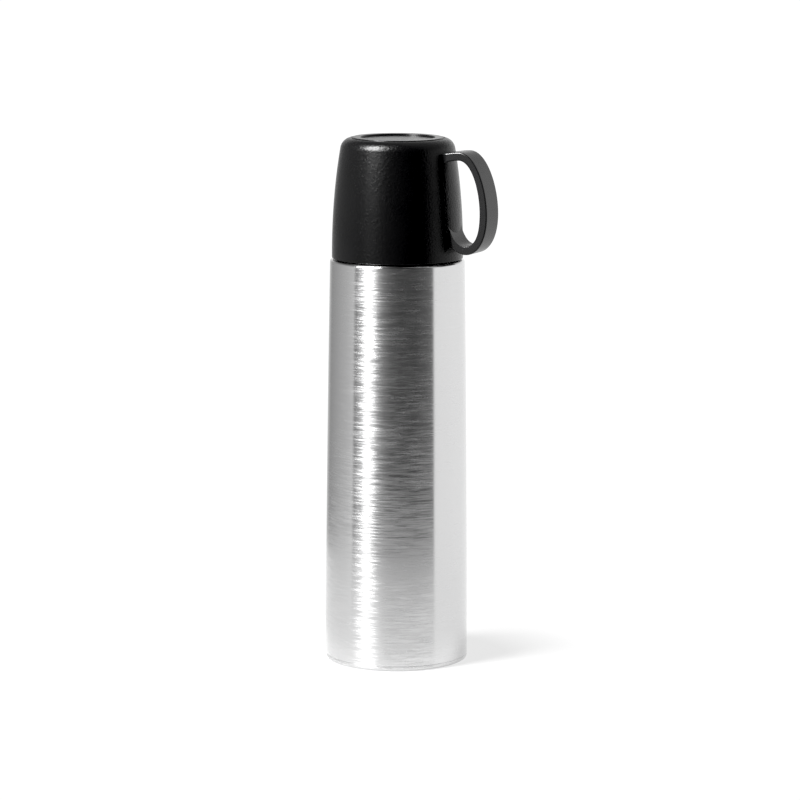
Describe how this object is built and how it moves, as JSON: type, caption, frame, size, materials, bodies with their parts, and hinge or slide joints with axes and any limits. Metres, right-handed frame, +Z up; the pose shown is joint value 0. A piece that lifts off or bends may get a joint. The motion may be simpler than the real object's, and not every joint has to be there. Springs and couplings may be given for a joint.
{
  "type": "vacuum flask",
  "caption": "Slim double-wall brushed steel vacuum flask with a black screw-on drinking cup that has a loop handle, over a press-to-pour stopper.",
  "frame": {"origin": "centre of the ring the flask stands on, on the flask's axis, at floor level", "axes": "+Z up the flask's axis from its base to its cup; +X from the axis towards the cup's handle"},
  "size_m": [0.0855, 0.07, 0.2576],
  "materials": {
    "brushed_body": "brushed round the body, satin",
    "brushed_base": "brushed, satin",
    "plain_steel": "mill finish",
    "vessel_steel": "electropolished inside",
    "seal_glass": "fused frit, dull",
    "copper": "bright foil",
    "getter_metal": "pressed powder",
    "cup_black": "finely textured satin",
    "handle_black": "satin",
    "liner_black": "smooth",
    "stopper_black": "satin",
    "collar_black": "finely textured satin",
    "button_grey": "satin",
    "poppet_white": "moulded",
    "silicone": "translucent white silicone",
    "foam": "rigid foam",
    "spring_steel": "drawn wire"
  },
  "bodies": {
    "flask": {"outer_shell": "brushed_body", "base_cap": "brushed_base", "vacuum_base": "plain_steel", "seal_bead": "seal_glass", "inner_vessel": "vessel_steel", "copper_foil": "copper", "getter_clip": "plain_steel", "getter_pellet": "getter_metal"},
    "cup_carrier": {"cup_liner": "liner_black"},
    "cup": {"cup_shell": "cup_black", "cup_handle": "handle_black"},
    "stopper_carrier": {"stopper_gasket": "silicone"},
    "stopper": {"stopper_body": "stopper_black", "stopper_foam": "foam", "plug_base": "stopper_black", "stopper_collar": "collar_black", "button_spring": "spring_steel"},
    "valve": {"pour_button": "button_grey", "valve_stem": "plain_steel", "poppet": "poppet_white", "poppet_seal": "silicone", "stem_nut": "plain_steel"}
  },
  "joints": [
    {"name": "cup_lift", "type": "slide", "parent": "flask", "child": "cup_carrier", "axis": [0, 0, 1], "range_m": [0, 0.0601]},
    {"name": "cup_turn", "type": "hinge", "parent": "cup_carrier", "child": "cup", "pos_m": [0, 0, 0.2286], "axis": [0, 0, 1], "range_deg": [0, 1800]},
    {"name": "stopper_lift", "type": "slide", "parent": "flask", "child": "stopper_carrier", "axis": [0, 0, 1], "range_m": [0, 0.0161]},
    {"name": "stopper_turn", "type": "hinge", "parent": "stopper_carrier", "child": "stopper", "pos_m": [0, 0, 0.216], "axis": [0, 0, 1], "range_deg": [0, 720]},
    {"name": "pour_button", "type": "slide", "parent": "stopper", "child": "valve", "axis": [0, 0, -1], "range_m": [0, 0.004], "stiffness_N_per_m": 300, "springref_m": -0.004, "deforming": ["button_spring"]}
  ],
  "couplings": [
    {"joint": "cup_lift", "follows": "cup_turn", "m_per_rad": 0.0019099},
    {"joint": "stopper_lift", "follows": "stopper_turn", "m_per_rad": 0.0012732}
  ]
}
